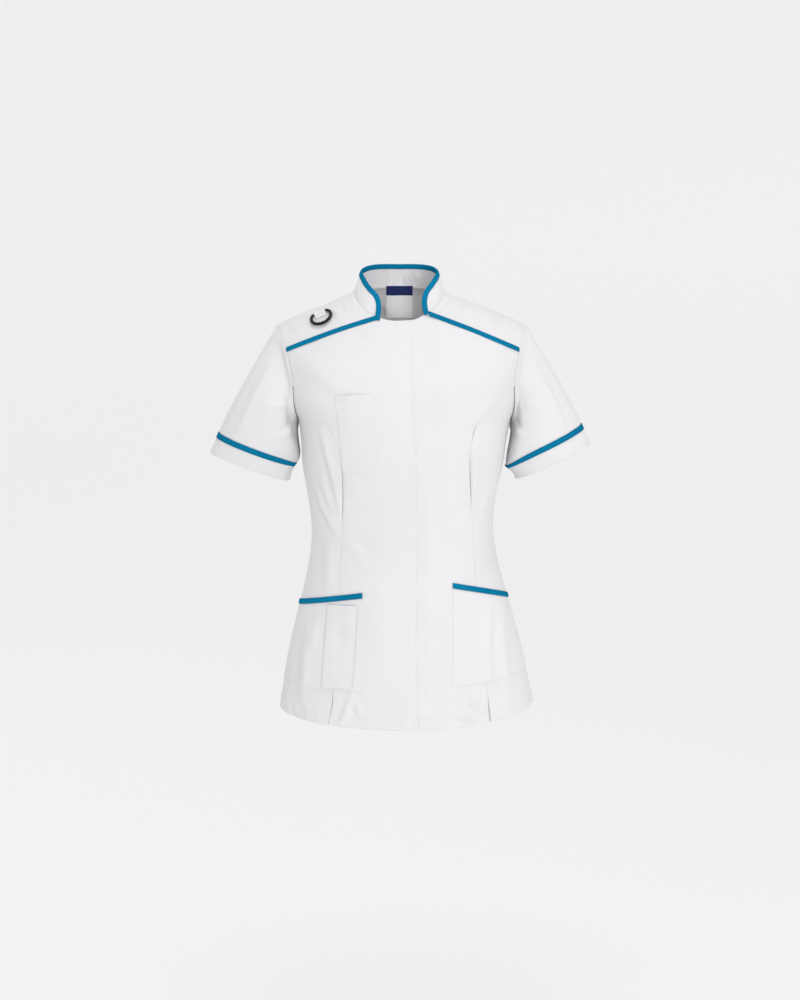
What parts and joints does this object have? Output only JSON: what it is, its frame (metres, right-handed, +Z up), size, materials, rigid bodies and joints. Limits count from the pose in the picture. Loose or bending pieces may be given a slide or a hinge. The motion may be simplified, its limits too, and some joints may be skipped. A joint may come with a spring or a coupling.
{
  "type": "medical tunic",
  "caption": "Women's short-sleeved healthcare tunic, filled out and hollow, with a stand collar, contrast trim, patch pockets, a concealed front closure and a hinged D-ring on the yoke.",
  "frame": {"origin": "middle of the neck, at the height where the garment rests on the wearer's shoulders", "axes": "+Z up, -Y out of the front, +X towards the wearer's left"},
  "size_m": [0.6416, 0.266, 0.7624],
  "materials": {
    "white_cloth": "matt twill, white",
    "blue_tape": "matt woven tape, mid blue",
    "navy_label": "satin woven label, navy",
    "white_tag": "satin woven tag, white",
    "black_ring": "moulded, half-matt black"
  },
  "bodies": {
    "garment": {"back": "white_cloth", "front_right": "white_cloth", "front_left": "white_cloth", "side_front_right": "white_cloth", "side_front_left": "white_cloth", "yoke_right": "white_cloth", "yoke_left": "white_cloth", "sleeve_right": "white_cloth", "sleeve_left": "white_cloth", "cuff_right": "white_cloth", "cuff_left": "white_cloth", "hip_pocket_right": "white_cloth", "hip_pocket_left": "white_cloth", "instrument_pocket": "white_cloth", "pen_pocket": "white_cloth", "collar": "white_cloth", "ring_keeper": "white_cloth", "yoke_piping_right": "blue_tape", "yoke_piping_left": "blue_tape", "sleeve_tape_right": "blue_tape", "sleeve_tape_left": "blue_tape", "pocket_tape_right": "blue_tape", "pocket_tape_left": "blue_tape", "collar_binding": "blue_tape", "neck_label": "navy_label", "neck_tag": "white_tag"},
    "d_ring": {"d_ring": "black_ring"}
  },
  "joints": [
    {"name": "ring_hinge", "type": "hinge", "parent": "garment", "child": "d_ring", "pos_m": [-0.1324, -0.03669, -0.03509], "axis": [-0.9236, -0.0006, -0.3833], "range_deg": [0, 160]}
  ]
}
